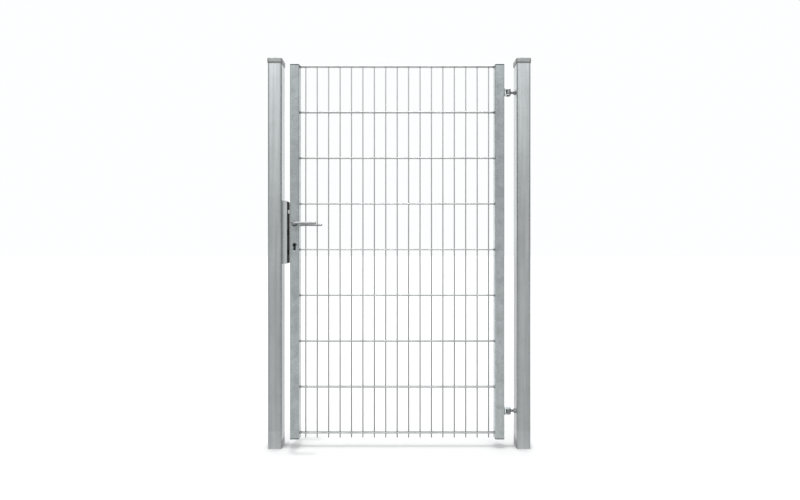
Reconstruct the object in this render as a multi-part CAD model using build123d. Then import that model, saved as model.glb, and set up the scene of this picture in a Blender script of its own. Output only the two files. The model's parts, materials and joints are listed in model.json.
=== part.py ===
"""Pedestrian garden gate: two square posts, a welded-mat leaf on adjustable hinges, and a lock.

Units are millimetres. The origin is on the ground line, midway between the posts and in the
mid-plane of the leaf. +X runs from the lock post to the hinge post, +Y away from the side that
the leaf opens to, and +Z is up. Every function below makes one node, or one set of like nodes.
"""
from build123d import *
from math import cos, radians, sin
import os

# Posts
OPENING = 1015.0
POST_SIZE = 60.0
POST_WALL = 2.0
POST_ROUND = 7.0
POST_HEIGHT = 1683.0
POST_X = OPENING / 2 + POST_SIZE / 2
POST_FACE_X = OPENING / 2

# Post caps
CAP_OVERHANG = 2.5
CAP_SKIRT = 19.0
CAP_TAPER = 7.0
CAP_RIM_TOP = POST_HEIGHT + 2.0
CAP_SHOULDER_RISE = 2.0
CAP_SHOULDER_INSET = 1.5
CAP_CROWN_RISE = 14.0
CAP_CROWN_FLAT = 14.0

# Leaf frame
STILE_SIZE = 40.0
STILE_WALL = 2.0
STILE_ROUND = 3.0
STILE_GAP = 850.0
LEAF_SHIFT = -8.75
LEAF_BOTTOM = 37.0
LEAF_TOP = 1664.0
PLUG_RIM = 4.0
PLUG_DEPTH = 22.0
PLUG_WALL = 2.5
LOCK_STILE_X = LEAF_SHIFT - STILE_GAP / 2 - STILE_SIZE / 2
HINGE_STILE_X = LEAF_SHIFT + STILE_GAP / 2 + STILE_SIZE / 2
LOCK_EDGE_X = LOCK_STILE_X - STILE_SIZE / 2
HINGE_EDGE_X = HINGE_STILE_X + STILE_SIZE / 2

# Double-wire mat
WIRE_PITCH = 50.0
WIRE_COUNT = 17
LEVEL_PITCH = 200.0
LEVEL_COUNT = 9
FIRST_LEVEL = 60.0
UPRIGHT_RADIUS = 2.5
CROSS_RADIUS = 3.0
WELD_SINK = 0.3
CROSS_OFFSET = UPRIGHT_RADIUS + CROSS_RADIUS - WELD_SINK

# Hinges
HINGE_X = 477.5
HINGE_LEVELS = {"lower": 155.0, "upper": 1546.5}
PIN_RADIUS = 5.0
RUNNING_GAP = 0.05
EYE_RADIUS = 10.5
EYE_HALF = 8.0
SHANK_RADIUS = 6.0
SHANK_END_X = POST_FACE_X + 27.0
LOCKNUT_THICK = 6.0
LOCKNUT_FLATS = 18.0
INSERT_RADIUS = 9.0
INSERT_LENGTH = 30.0
EAR_INNER = 9.5
EAR_THICK = 4.0
EAR_RADIUS = 11.0
BRACKET_PLATE = 5.0
BRACKET_HALF_WIDTH = 14.0
WASHER_THICK = 1.2
WASHER_RADIUS = 9.5

# Lock, measured from the spindle axis in the middle of the lock stile
SPINDLE_Z = 972.0
CYLINDER_DROP = 92.0
CYLINDER_RADIUS = 8.5
CYLINDER_SLOT = 10.0
CYLINDER_HEIGHT = 33.0
CYLINDER_Z = SPINDLE_Z - CYLINDER_DROP
CASE_LOW = 820.0
CASE_HIGH = 1051.0
CASE_DEPTH = 36.5
CASE_HALF = 8.5
CASE_WALL = 1.5
PLATE_THICK = 3.0
PLATE_HALF = 12.0
PLATE_LOW = 805.0
PLATE_HIGH = 1066.0
PLATE_SCREW_INSET = 7.0
PLATE_X = LOCK_EDGE_X - PLATE_THICK

# Follower, latch bolt and dead bolt
HUB_RADIUS = 9.0
SQUARE = 8.0
SQUARE_GAP = 0.2
ARM_ANGLE = 40.0
ARM_REACH = 22.0
ARM_HALF = 4.0
LATCH_Z = 1025.0
LATCH_HALF_HEIGHT = 8.0
LATCH_HALF = 5.5
LATCH_THROW = 16.0
LATCH_BEVEL = 8.0
LATCH_PIN_X = LOCK_STILE_X - 8.6
LATCH_PIN_Z = SPINDLE_Z + 23.5
LATCH_PIN_RADIUS = 3.0
LATCH_TAIL_X = LOCK_STILE_X - 3.25
BOLT_Z = 847.0
BOLT_HALF_HEIGHT = 7.0
BOLT_HALF = 6.0
BOLT_LENGTH = 33.0

# Lever handles
BUSH_FLANGE_RADIUS = 12.0
BUSH_FLANGE = 3.5
BUSH_RADIUS = 10.0
NECK_RADIUS = 8.0
LEVER_RADIUS = 6.0
LEVER_Y = 72.0
LEVER_BEND = 12.0
LEVER_LENGTH = 105.0

# Keep on the lock post
KEEP_LOW = 798.0
KEEP_HIGH = 1073.0
KEEP_DEPTH = 18.5
KEEP_FRONT = -10.0
KEEP_BACK = 30.0
KEEP_SKIN = 3.0
KEEP_FLOOR = 2.5
KEEP_ROUND = 4.0
STOP_LIP_X = -467.0
BUFFER_LIP = 2.0
BUFFER_PADS = [(802.0, 838.0, 7.0), (858.0, 924.0, 5.5), (949.0, 1014.0, 5.5), (1035.5, 1069.0, 6.0)]
STOP_FACE_Y = STILE_SIZE / 2 + 0.5
KEEP_SCREW_LEVELS = [815.0, 937.0, 1052.0]


def block(x, y, z):
    """A box from its low and high limit along each axis."""
    centre = Pos((x[0] + x[1]) / 2, (y[0] + y[1]) / 2, (z[0] + z[1]) / 2)
    return centre * Box(x[1] - x[0], y[1] - y[0], z[1] - z[0])


def rod_x(radius, start, end, y=0.0, z=0.0):
    """A round bar along X."""
    return Pos((start + end) / 2, y, z) * Rot(0, 90, 0) * Cylinder(radius, end - start)


def rod_y(radius, start, end, x=0.0, z=0.0):
    """A round bar along Y."""
    return Pos(x, (start + end) / 2, z) * Rot(90, 0, 0) * Cylinder(radius, end - start)


def rod_z(radius, start, end, x=0.0, y=0.0):
    """A round bar along Z."""
    return Pos(x, y, (start + end) / 2) * Cylinder(radius, end - start)


def slab(size, corner, low, high):
    """An upright bar of square section with rounded corners."""
    return Pos(0, 0, low) * extrude(RectangleRounded(size, size, corner), high - low)


def square_tube(size, wall, corner, low, high):
    """A square hollow section with a constant wall."""
    hollow = slab(size - 2 * wall, corner - wall / 2, low, high)
    return slab(size, corner, low, high) - hollow


def cylinder_profile(front, back):
    """The profile hole for a lock cylinder: a round with a round-ended slot below it."""
    slot_end = CYLINDER_HEIGHT - CYLINDER_RADIUS - CYLINDER_SLOT / 2
    slot_half = CYLINDER_SLOT / 2
    slot = block((-slot_half, slot_half), (front, back), (-slot_end, 0))
    foot = rod_y(slot_half, front, back, z=-slot_end)
    barrel = rod_y(CYLINDER_RADIUS, front, back)
    return Pos(LOCK_STILE_X, 0, CYLINDER_Z) * (barrel + slot + foot)


def lock_post():
    """Post with the holes for the keep's rivet nuts in its inner face."""
    post = Pos(-POST_X, 0, 0) * square_tube(POST_SIZE, POST_WALL, POST_ROUND, 0, POST_HEIGHT)
    for level in KEEP_SCREW_LEVELS:
        post -= rod_x(5.7, -POST_FACE_X - 5, -POST_FACE_X + 5, y=10, z=level)
    return post


def hinge_post():
    """Post with the two holes for the threaded hinge inserts in its inner face."""
    post = Pos(POST_X, 0, 0) * square_tube(POST_SIZE, POST_WALL, POST_ROUND, 0, POST_HEIGHT)
    for level in HINGE_LEVELS.values():
        post -= rod_x(INSERT_RADIUS + 0.1, POST_FACE_X - 5, POST_FACE_X + 5, z=level)
    return post


def post_cap(x):
    """Pressed cap: a tapered lower lip, an upright rim, a small bevel and a low pyramid."""
    outer = POST_SIZE + 2 * CAP_OVERHANG
    corner = POST_ROUND + CAP_OVERHANG
    low = POST_HEIGHT - CAP_SKIRT
    lip_size = POST_SIZE + 1.6
    lip_corner = POST_ROUND + 0.8
    shoulder_size = outer - 2 * CAP_SHOULDER_INSET
    taper_top = low + CAP_TAPER
    shoulder_z = CAP_RIM_TOP + CAP_SHOULDER_RISE
    lip = loft([
        Pos(0, 0, low) * RectangleRounded(lip_size, lip_size, lip_corner),
        Pos(0, 0, taper_top) * RectangleRounded(outer, outer, corner),
    ])
    rim = slab(outer, corner, taper_top, CAP_RIM_TOP)
    shoulder = loft([
        Pos(0, 0, CAP_RIM_TOP) * RectangleRounded(outer, outer, corner),
        Pos(0, 0, shoulder_z) * RectangleRounded(shoulder_size, shoulder_size, corner),
    ])
    crown = loft([
        Pos(0, 0, shoulder_z) * RectangleRounded(shoulder_size, shoulder_size, corner),
        Pos(0, 0, shoulder_z + CAP_CROWN_RISE)
        * RectangleRounded(CAP_CROWN_FLAT, CAP_CROWN_FLAT, corner / 2),
    ])
    socket = slab(POST_SIZE + 0.5, POST_ROUND + 0.25, low - 1, POST_HEIGHT)
    return Pos(x, 0, 0) * (lip + rim + shoulder + crown - socket)


def lock_stile():
    """Leaf tube cut for the lock case, the handle bushes, two screws and a half cylinder.

    The cylinder's hole is in the front wall only.
    """
    tube = square_tube(STILE_SIZE, STILE_WALL, STILE_ROUND, LEAF_BOTTOM + PLUG_RIM,
                       LEAF_TOP - PLUG_RIM)
    stile = Pos(LOCK_STILE_X, 0, 0) * tube
    half = CASE_HALF + 0.4
    stile -= block((LOCK_EDGE_X - 1, LOCK_EDGE_X + 5), (-half, half),
                   (CASE_LOW - 0.4, CASE_HIGH + 0.4))
    stile -= rod_y(BUSH_RADIUS + 0.1, -STILE_SIZE, STILE_SIZE, x=LOCK_STILE_X, z=SPINDLE_Z)
    stile -= cylinder_profile(-STILE_SIZE, 0)
    for level in (PLATE_LOW + PLATE_SCREW_INSET, PLATE_HIGH - PLATE_SCREW_INSET):
        stile -= rod_x(2.6, LOCK_EDGE_X - 1, LOCK_EDGE_X + 5, z=level)
    return stile


def hinge_stile():
    """Plain leaf tube on the hinge side."""
    return Pos(HINGE_STILE_X, 0, 0) * square_tube(
        STILE_SIZE, STILE_WALL, STILE_ROUND, LEAF_BOTTOM + PLUG_RIM, LEAF_TOP - PLUG_RIM)


def stile_plug(x, at_top):
    """Moulded end plug: a rim over the tube's end and a hollow spigot inside it."""
    spigot = STILE_SIZE - 2 * STILE_WALL - 0.2
    corner = STILE_ROUND - STILE_WALL / 2
    body = square_tube(spigot, PLUG_WALL, corner, -PLUG_DEPTH, 0)
    rim = slab(STILE_SIZE, STILE_ROUND, 0, PLUG_RIM)
    rim = chamfer(rim.faces().sort_by(Axis.Z)[-1].edges(), 1.0)
    plug = body + rim
    if at_top:
        return Pos(x, 0, LEAF_TOP - PLUG_RIM) * plug
    return Pos(x, 0, LEAF_BOTTOM + PLUG_RIM) * Rot(180, 0, 0) * plug


def upright_wires():
    """Upright wires of the mat, which stand below the lowest level."""
    first = LEAF_SHIFT - WIRE_PITCH * (WIRE_COUNT - 1) / 2
    top = FIRST_LEVEL + LEVEL_PITCH * (LEVEL_COUNT - 1) + CROSS_RADIUS
    return Compound(children=[
        rod_z(UPRIGHT_RADIUS, LEAF_BOTTOM, top, x=first + WIRE_PITCH * i)
        for i in range(WIRE_COUNT)
    ])


def cross_wires(side):
    """Level wires on one side of the uprights, welded to both stiles."""
    start = LOCK_STILE_X + STILE_SIZE / 2
    end = HINGE_STILE_X - STILE_SIZE / 2
    return Compound(children=[
        rod_x(CROSS_RADIUS, start, end, y=side * CROSS_OFFSET, z=FIRST_LEVEL + LEVEL_PITCH * i)
        for i in range(LEVEL_COUNT)
    ])


def hinge_bracket(level):
    """Welded bracket: a plate on the stile with two round-nosed ears for the pin."""
    plate = block((HINGE_EDGE_X, HINGE_EDGE_X + BRACKET_PLATE),
                  (-BRACKET_HALF_WIDTH, BRACKET_HALF_WIDTH),
                  (level - EAR_INNER - EAR_THICK, level + EAR_INNER + EAR_THICK))
    bracket = plate
    for low in (level - EAR_INNER - EAR_THICK, level + EAR_INNER):
        high = low + EAR_THICK
        bracket += block((HINGE_EDGE_X, HINGE_X), (-EAR_RADIUS, EAR_RADIUS), (low, high))
        bracket += rod_z(EAR_RADIUS, low, high, x=HINGE_X)
    reach = EAR_INNER + EAR_THICK + 1
    return bracket - rod_z(PIN_RADIUS + 0.1, level - reach, level + reach, x=HINGE_X)


def hinge_pin(level):
    """Headed pin with a groove for its retaining ring."""
    reach = EAR_INNER + EAR_THICK
    pin = rod_z(PIN_RADIUS, level - reach - 4.5, level + reach, x=HINGE_X)
    head = rod_z(PIN_RADIUS + 3, level + reach, level + reach + 3.5, x=HINGE_X)
    groove = rod_z(PIN_RADIUS + 1, level - reach - 1.7, level - reach - 0.4, x=HINGE_X)
    core = rod_z(PIN_RADIUS - 1, level - reach - 1.7, level - reach - 0.4, x=HINGE_X)
    return chamfer((pin + head - (groove - core)).faces().sort_by(Axis.Z)[-1].edges(), 1.0)


def retaining_rings():
    """Rings that keep the hinge pins in their brackets."""
    rings = []
    for level in HINGE_LEVELS.values():
        low = level - EAR_INNER - EAR_THICK - 1.6
        ring = rod_z(PIN_RADIUS + 2.5, low, low + 1.1, x=HINGE_X)
        rings.append(ring - rod_z(PIN_RADIUS - 0.95, low - 1, low + 2, x=HINGE_X))
    return Compound(children=rings)


def hinge_washers():
    """Thrust washers between each eye and the ears above and below it."""
    washers = []
    for level in HINGE_LEVELS.values():
        for low in (level - EAR_INNER, level + EAR_INNER - WASHER_THICK):
            ring = rod_z(WASHER_RADIUS, low, low + WASHER_THICK, x=HINGE_X)
            washers.append(ring - rod_z(PIN_RADIUS + 0.1, low - 1, low + 3, x=HINGE_X))
    return Compound(children=washers)


def hinge_eyebolt(level):
    """Eyebolt: a round eye on a shank that screws into the post."""
    eye = rod_z(EYE_RADIUS, level - EYE_HALF, level + EYE_HALF, x=HINGE_X)
    shank = rod_x(SHANK_RADIUS, HINGE_X, SHANK_END_X, z=level)
    bore = rod_z(PIN_RADIUS + RUNNING_GAP, level - EYE_HALF - 1, level + EYE_HALF + 1, x=HINGE_X)
    return eye + shank - bore


def hinge_locknut(level):
    """Thin hexagon nut that locks the eyebolt against the post."""
    hexagon = RegularPolygon(LOCKNUT_FLATS / 2, 6, major_radius=False)
    nut = Rot(0, -90, 0) * extrude(hexagon, LOCKNUT_THICK)
    nut = Pos(POST_FACE_X, 0, level) * nut
    return nut - rod_x(SHANK_RADIUS + 0.1, POST_FACE_X - 20, POST_FACE_X + 1, z=level)


def hinge_insert(level):
    """Threaded sleeve welded into the post wall."""
    sleeve = rod_x(INSERT_RADIUS, POST_FACE_X, POST_FACE_X + INSERT_LENGTH, z=level)
    return sleeve - rod_x(SHANK_RADIUS + 0.1, POST_FACE_X - 1, POST_FACE_X + 40, z=level)


def lock_case():
    """Sheet case that slides into the stile, open towards the faceplate."""
    back = LOCK_EDGE_X + CASE_DEPTH
    outer = block((LOCK_EDGE_X, back), (-CASE_HALF, CASE_HALF), (CASE_LOW, CASE_HIGH))
    inner_half = CASE_HALF - CASE_WALL
    inner = block((LOCK_EDGE_X - 1, back - CASE_WALL), (-inner_half, inner_half),
                  (CASE_LOW + CASE_WALL, CASE_HIGH - CASE_WALL))
    case = outer - inner - cylinder_profile(-STILE_SIZE, STILE_SIZE)
    return case - rod_y(HUB_RADIUS + RUNNING_GAP, -20, 20, x=LOCK_STILE_X, z=SPINDLE_Z)


def lock_faceplate():
    """Stainless strip over the case, with windows for both bolts."""
    plate = block((PLATE_X, LOCK_EDGE_X), (-PLATE_HALF, PLATE_HALF), (PLATE_LOW, PLATE_HIGH))
    plate = fillet(plate.edges().filter_by(Axis.X), 3.0)
    for centre, half_y, half_z in ((LATCH_Z, LATCH_HALF, LATCH_HALF_HEIGHT),
                                   (BOLT_Z, BOLT_HALF, BOLT_HALF_HEIGHT)):
        plate -= block((PLATE_X - 1, LOCK_EDGE_X + 1), (-half_y - 0.5, half_y + 0.5),
                       (centre - half_z - 0.5, centre + half_z + 0.5))
    for level in (PLATE_LOW + PLATE_SCREW_INSET, PLATE_HIGH - PLATE_SCREW_INSET):
        plate -= screw_shape(level, 0.1)
    return plate


def screw_shape(level, gap):
    """Countersunk screw along +X through the faceplate, grown by a gap."""
    sink = Pos(PLATE_X + 1.25, 0, level) * Rot(0, 90, 0) * Cone(4.6 + gap, 2.1 + gap, 2.5)
    return sink + rod_x(2.5 + gap, PLATE_X + 2.0, PLATE_X + 14, z=level)


def faceplate_screws():
    """The two countersunk screws of the faceplate, each with a hexagon socket."""
    screws = []
    for level in (PLATE_LOW + PLATE_SCREW_INSET, PLATE_HIGH - PLATE_SCREW_INSET):
        socket = Rot(0, 90, 0) * extrude(RegularPolygon(1.6, 6, major_radius=False), 1.8)
        screws.append(screw_shape(level, 0) - Pos(PLATE_X, 0, level) * socket)
    return Compound(children=screws)


def follower():
    """Hub that the spindle turns, with a round-ended arm that draws the latch back."""
    hub = rod_y(HUB_RADIUS, -CASE_HALF + 0.1, CASE_HALF - 0.1)
    arm = block((-ARM_HALF, ARM_HALF), (-3, 3), (0, ARM_REACH))
    arm += rod_y(ARM_HALF, -3, 3, z=ARM_REACH)
    side = SQUARE + SQUARE_GAP
    part = hub + Rot(0, -ARM_ANGLE, 0) * arm - Box(side, 40, side)
    return Pos(LOCK_STILE_X, 0, SPINDLE_Z) * part


def latch_bolt():
    """Bevelled latch with a bored tail for its spring, a side leg and the pin on the leg."""
    tip = PLATE_X - LATCH_THROW
    low = LATCH_Z - LATCH_HALF_HEIGHT
    high = LATCH_Z + LATCH_HALF_HEIGHT
    outline = Polyline((tip, -LATCH_HALF), (tip + 2, -LATCH_HALF), (LATCH_TAIL_X, -LATCH_HALF),
                       (LATCH_TAIL_X, LATCH_HALF), (tip + LATCH_BEVEL + 4, LATCH_HALF),
                       (tip, -LATCH_HALF + 2), close=True)
    bolt = Pos(0, 0, low) * extrude(make_face(outline), high - low)
    bolt -= rod_x(3.8, LATCH_TAIL_X - 14, LATCH_TAIL_X + 1, z=LATCH_Z)
    leg = block((LATCH_PIN_X - 4.5, LATCH_PIN_X + 4.5), (3.5, LATCH_HALF),
                (LATCH_PIN_Z - 4.5, low + 2))
    return bolt + leg + rod_y(LATCH_PIN_RADIUS, -3, LATCH_HALF, x=LATCH_PIN_X, z=LATCH_PIN_Z)


def latch_spring():
    """Compression spring from the latch's bored tail to the back of the case."""
    start = LATCH_TAIL_X - 13.5
    length = LOCK_EDGE_X + CASE_DEPTH - CASE_WALL - start - 1.4
    coil = Helix(pitch=length / 8, height=length, radius=2.9)
    wire = sweep(Plane(coil @ 0, z_dir=coil % 0) * Circle(0.5), path=coil)
    return Pos(start + 0.6, 0, LATCH_Z) * Rot(0, 90, 0) * wire


def dead_bolt():
    """Square-ended bolt that runs below the cylinder, shown drawn back."""
    bolt = block((PLATE_X + 0.5, PLATE_X + 0.5 + BOLT_LENGTH), (-BOLT_HALF, BOLT_HALF),
                 (BOLT_Z - BOLT_HALF_HEIGHT, BOLT_Z + BOLT_HALF_HEIGHT))
    return chamfer(bolt.faces().sort_by(Axis.X)[0].edges(), 0.8)


def handle_bush(side):
    """Flanged bush in the stile wall that carries one lever's neck."""
    flange_y = STILE_SIZE / 2
    flange = rod_y(BUSH_FLANGE_RADIUS, flange_y, flange_y + BUSH_FLANGE)
    flange = chamfer(flange.faces().sort_by(Axis.Y)[-1].edges(), 1.2)
    bush = flange + rod_y(BUSH_RADIUS, CASE_HALF + 2, flange_y)
    bush -= rod_y(NECK_RADIUS + RUNNING_GAP, 0, 40)
    turn = Rot(0, 0, 0) if side > 0 else Rot(180, 0, 0)
    return Pos(LOCK_STILE_X, 0, SPINDLE_Z) * turn * bush


def lever(side):
    """Lever: a neck on the spindle, a tight bend and a straight round-ended grip."""
    start = CASE_HALF + 3.5
    collar_end = STILE_SIZE / 2 + BUSH_FLANGE + 7
    collar = chamfer(rod_y(NECK_RADIUS, start, collar_end).faces().sort_by(Axis.Y)[-1].edges(), 1.0)
    bend = LEVER_Y - LEVER_BEND
    neck = rod_y(LEVER_RADIUS, collar_end - 2, bend)
    path = RadiusArc((0, bend, 0), (LEVER_BEND, LEVER_Y, 0), LEVER_BEND)
    elbow = sweep(Plane(path @ 0, z_dir=path % 0) * Circle(LEVER_RADIUS), path=path)
    grip_end = LEVER_LENGTH - LEVER_RADIUS
    grip = rod_x(LEVER_RADIUS, LEVER_BEND, grip_end, y=LEVER_Y)
    tip = Pos(grip_end, LEVER_Y, 0) * Sphere(LEVER_RADIUS)
    hole = SQUARE + SQUARE_GAP
    part = collar + neck + elbow + grip + tip
    part -= block((-hole / 2, hole / 2), (0, collar_end + 4), (-hole / 2, hole / 2))
    part -= rod_z(2.6, -NECK_RADIUS - 1, 0, y=collar_end - 4)
    if side < 0:
        part = mirror(part, about=Plane.XZ)
    return Pos(LOCK_STILE_X, 0, SPINDLE_Z) * part


def handle_grub_screws():
    """Grub screws that clamp both levers on the spindle from below."""
    y = STILE_SIZE / 2 + BUSH_FLANGE + 3
    return Compound(children=[
        rod_z(2.5, SPINDLE_Z - NECK_RADIUS + 0.3, SPINDLE_Z - SQUARE / 2 - 0.1,
              x=LOCK_STILE_X, y=side * y)
        for side in (-1, 1)
    ])


def handle_spindle():
    """Square spindle through the follower and into both levers."""
    half = STILE_SIZE / 2 + BUSH_FLANGE + 9
    return Pos(LOCK_STILE_X, 0, SPINDLE_Z) * Box(SQUARE, 2 * half, SQUARE)


def keep_body():
    """Channel on the post with a long rear lip that the leaf closes against."""
    front_x = -POST_FACE_X + KEEP_DEPTH
    body = block((-POST_FACE_X, front_x), (KEEP_FRONT, KEEP_BACK), (KEEP_LOW, KEEP_HIGH))
    body = fillet(body.edges().filter_by(Axis.Y).group_by(Axis.X)[-1], KEEP_ROUND)
    body -= block((-POST_FACE_X + KEEP_FLOOR, front_x + 1),
                  (KEEP_FRONT + KEEP_SKIN, KEEP_BACK - KEEP_SKIN),
                  (KEEP_LOW + KEEP_SKIN, KEEP_HIGH - KEEP_SKIN))
    body += block((front_x - 8, STOP_LIP_X), (KEEP_BACK - KEEP_SKIN, KEEP_BACK),
                  (KEEP_LOW + KEEP_ROUND, KEEP_HIGH - KEEP_ROUND))
    for level in KEEP_SCREW_LEVELS:
        body -= rod_x(4.3, -POST_FACE_X - 1, -POST_FACE_X + 5, y=10, z=level)
    return body


def keep_buffer():
    """Moulded block in the channel's mouth with soft pads and a pocket for each bolt."""
    front_x = -POST_FACE_X + KEEP_DEPTH
    lip_x = front_x + BUFFER_LIP
    skin = KEEP_SKIN + 0.1
    body = block((front_x - 7, front_x), (KEEP_FRONT + skin, KEEP_BACK - skin),
                 (KEEP_LOW + skin, KEEP_HIGH - skin))
    body += block((front_x, lip_x), (KEEP_FRONT, KEEP_BACK - skin),
                  (KEEP_LOW + KEEP_ROUND, KEEP_HIGH - KEEP_ROUND))
    for low, high, reach in BUFFER_PADS:
        pad = block((lip_x - 1, lip_x + reach), (KEEP_FRONT, 16), (low, high))
        body += fillet(pad.edges().filter_by(Axis.Y).group_by(Axis.X)[-1], 5.0)
    for centre, half_y, half_z in ((LATCH_Z, LATCH_HALF, LATCH_HALF_HEIGHT),
                                   (BOLT_Z, BOLT_HALF, BOLT_HALF_HEIGHT)):
        body -= block((front_x - 10, lip_x + 1), (-half_y - 0.5, half_y + 3),
                      (centre - half_z - 2, centre + half_z + 2))
    return body


def stop_strip():
    """Rubber strip on the rear lip, just behind the closed leaf."""
    low = KEEP_LOW + KEEP_ROUND + 2
    high = KEEP_HIGH - KEEP_ROUND - 2
    return block((STOP_LIP_X - 6.5, STOP_LIP_X - 0.5), (STOP_FACE_Y, KEEP_BACK - KEEP_SKIN),
                 (low, high))


def keep_screws():
    """Button-headed screws through the channel's floor into the post."""
    screws = []
    for level in KEEP_SCREW_LEVELS:
        floor_x = -POST_FACE_X + KEEP_FLOOR
        head = rod_x(6.5, floor_x, floor_x + 4.5, y=10, z=level)
        head = fillet(head.faces().sort_by(Axis.X)[-1].edges(), 2.5)
        socket = Rot(0, 90, 0) * extrude(RegularPolygon(2.5, 6, major_radius=False), 4)
        screw = head + rod_x(4.0, floor_x - 20, floor_x, y=10, z=level)
        screws.append(screw - Pos(floor_x + 2, 10, level) * socket)
    return Compound(children=screws)


def keep_rivet_nuts():
    """Rivet nuts set in the lock post for the keep's screws."""
    nuts = []
    for level in KEEP_SCREW_LEVELS:
        sleeve = rod_x(5.6, -POST_FACE_X - 14, -POST_FACE_X, y=10, z=level)
        bulge = rod_x(8.0, -POST_FACE_X - 6, -POST_FACE_X - POST_WALL, y=10, z=level)
        bore = rod_x(4.1, -POST_FACE_X - 15, -POST_FACE_X + 1, y=10, z=level)
        nuts.append(sleeve + bulge - bore)
    return Compound(children=nuts)


def all_parts():
    """Every node's shape under the node's name."""
    parts = {
        "lock_post": lock_post(),
        "hinge_post": hinge_post(),
        "lock_post_cap": post_cap(-POST_X),
        "hinge_post_cap": post_cap(POST_X),
        "lock_stile": lock_stile(),
        "hinge_stile": hinge_stile(),
        "upright_wires": upright_wires(),
        "front_cross_wires": cross_wires(-1),
        "rear_cross_wires": cross_wires(1),
        "hinge_washers": hinge_washers(),
        "retaining_rings": retaining_rings(),
        "lock_case": lock_case(),
        "lock_faceplate": lock_faceplate(),
        "faceplate_screws": faceplate_screws(),
        "follower": follower(),
        "latch_bolt": latch_bolt(),
        "latch_spring": latch_spring(),
        "dead_bolt": dead_bolt(),
        "handle_spindle": handle_spindle(),
        "handle_grub_screws": handle_grub_screws(),
        "keep_body": keep_body(),
        "keep_buffer": keep_buffer(),
        "stop_strip": stop_strip(),
        "keep_screws": keep_screws(),
        "keep_rivet_nuts": keep_rivet_nuts(),
    }
    for name, x in (("lock_stile", LOCK_STILE_X), ("hinge_stile", HINGE_STILE_X)):
        parts[name + "_top_plug"] = stile_plug(x, True)
        parts[name + "_bottom_plug"] = stile_plug(x, False)
    for name, side in (("front", -1), ("rear", 1)):
        parts[name + "_handle_bush"] = handle_bush(side)
        parts[name + "_lever"] = lever(side)
    for name, level in HINGE_LEVELS.items():
        parts[name + "_hinge_bracket"] = hinge_bracket(level)
        parts[name + "_hinge_pin"] = hinge_pin(level)
        parts[name + "_hinge_eyebolt"] = hinge_eyebolt(level)
        parts[name + "_hinge_locknut"] = hinge_locknut(level)
        parts[name + "_hinge_insert"] = hinge_insert(level)
    return parts


os.makedirs("parts", exist_ok=True)
for node, shape in all_parts().items():
    export_step(shape, f"parts/{node}.step")
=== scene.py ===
"""Looks for the garden gate: surfaces, zinc and lock finishes, and the studio, built round the frame.

Everything is in metres in the frame's own axes: +X towards the hinge post, +Y to the rear, +Z up.
"""
import json
import math

import bpy
import numpy as np
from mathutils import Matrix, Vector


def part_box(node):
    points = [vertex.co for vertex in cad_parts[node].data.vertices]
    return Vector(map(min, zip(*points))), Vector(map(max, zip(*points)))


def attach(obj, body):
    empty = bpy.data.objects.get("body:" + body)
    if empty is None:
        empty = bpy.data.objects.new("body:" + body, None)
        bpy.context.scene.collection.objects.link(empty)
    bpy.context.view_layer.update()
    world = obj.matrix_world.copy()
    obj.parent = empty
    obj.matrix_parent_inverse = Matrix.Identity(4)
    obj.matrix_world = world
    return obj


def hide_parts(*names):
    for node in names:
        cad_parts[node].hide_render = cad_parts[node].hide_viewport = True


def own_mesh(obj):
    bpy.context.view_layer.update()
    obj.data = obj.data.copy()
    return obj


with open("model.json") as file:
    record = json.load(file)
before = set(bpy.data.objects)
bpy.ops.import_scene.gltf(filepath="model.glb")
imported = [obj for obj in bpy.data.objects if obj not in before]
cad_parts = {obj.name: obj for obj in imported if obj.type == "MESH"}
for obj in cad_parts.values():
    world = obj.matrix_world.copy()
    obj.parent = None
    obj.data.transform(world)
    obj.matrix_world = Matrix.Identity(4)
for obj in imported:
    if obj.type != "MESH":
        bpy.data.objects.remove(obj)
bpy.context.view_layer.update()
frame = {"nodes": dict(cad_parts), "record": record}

bl_info = {
    "name": "Garden gate looks",
    "version": (1, 0, 0),
    "blender": (4, 5, 0),
    "location": "3D View > Sidebar > Gate",
    "description": "Builds the visible surfaces, finishes and studio of a mesh garden gate",
    "category": "Object",
}

MM = 0.001
POSTS, LEAF, HANDLE = "posts", "leaf", "handle"
TUBE_WALL, TUBE_STEP = 2 * MM, 12 * MM
POST_CORNER, STILE_CORNER = 7 * MM, 3 * MM
# height of the painted shade at the foot of the posts' inner faces
FOOT_SHADE_HEIGHT = 60 * MM
CAP_CORNER, CAP_SOCKET, CAP_LIP, CAP_TAPER = 9.5 * MM, 19 * MM, 4 * MM, 7 * MM
CAP_CROWN, CAP_RIM = 14 * MM, 16 * MM
PLUG_RIM, PLUG_SPIGOT = 4 * MM, 20 * MM
EAR_THICK, PLATE_THICK = 4 * MM, 5 * MM
EYE_BORE, SHANK_RADIUS, NUT_BORE, PIN_RADIUS = 5.2 * MM, 6 * MM, 6.1 * MM, 5 * MM
THREAD_PITCH, THREAD_DEPTH = 1.75 * MM, 0.9 * MM
LEVER_RADIUS, LEVER_COLLAR = 6 * MM, 35 * MM
BUSH_BORE, BUSH_RADIUS, BUSH_FLANGE = 8.1 * MM, 10 * MM, 3.5 * MM
SPRING_WIRE, SPRING_TURNS = 0.5 * MM, 8
EASED_NODES = ("keep_body", "keep_buffer", "lock_faceplate", "latch_bolt", "dead_bolt")


# ---------------------------------------------------------------- sizes from the frame

def low_high(node):
    """The lowest and highest corner of a node as arrays."""
    low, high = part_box(node)
    return np.array(low), np.array(high)


def middle(node):
    """The centre of a node's box."""
    low, high = low_high(node)
    return (low + high) / 2


# ---------------------------------------------------------------- surfaces

def signed_volume(points, faces):
    """Volume enclosed by the faces: the sum over triangles of a . (b x c) / 6."""
    total = 0.0
    for size in (3, 4):
        chosen = np.array([f for f in faces if len(f) == size], int).reshape(-1, size)
        for i in range(1, size - 1):
            a, b, c = points[chosen[:, 0]], points[chosen[:, i]], points[chosen[:, i + 1]]
            total += np.einsum("ij,ij->", a, np.cross(b, c)) / 6
    return total


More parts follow.
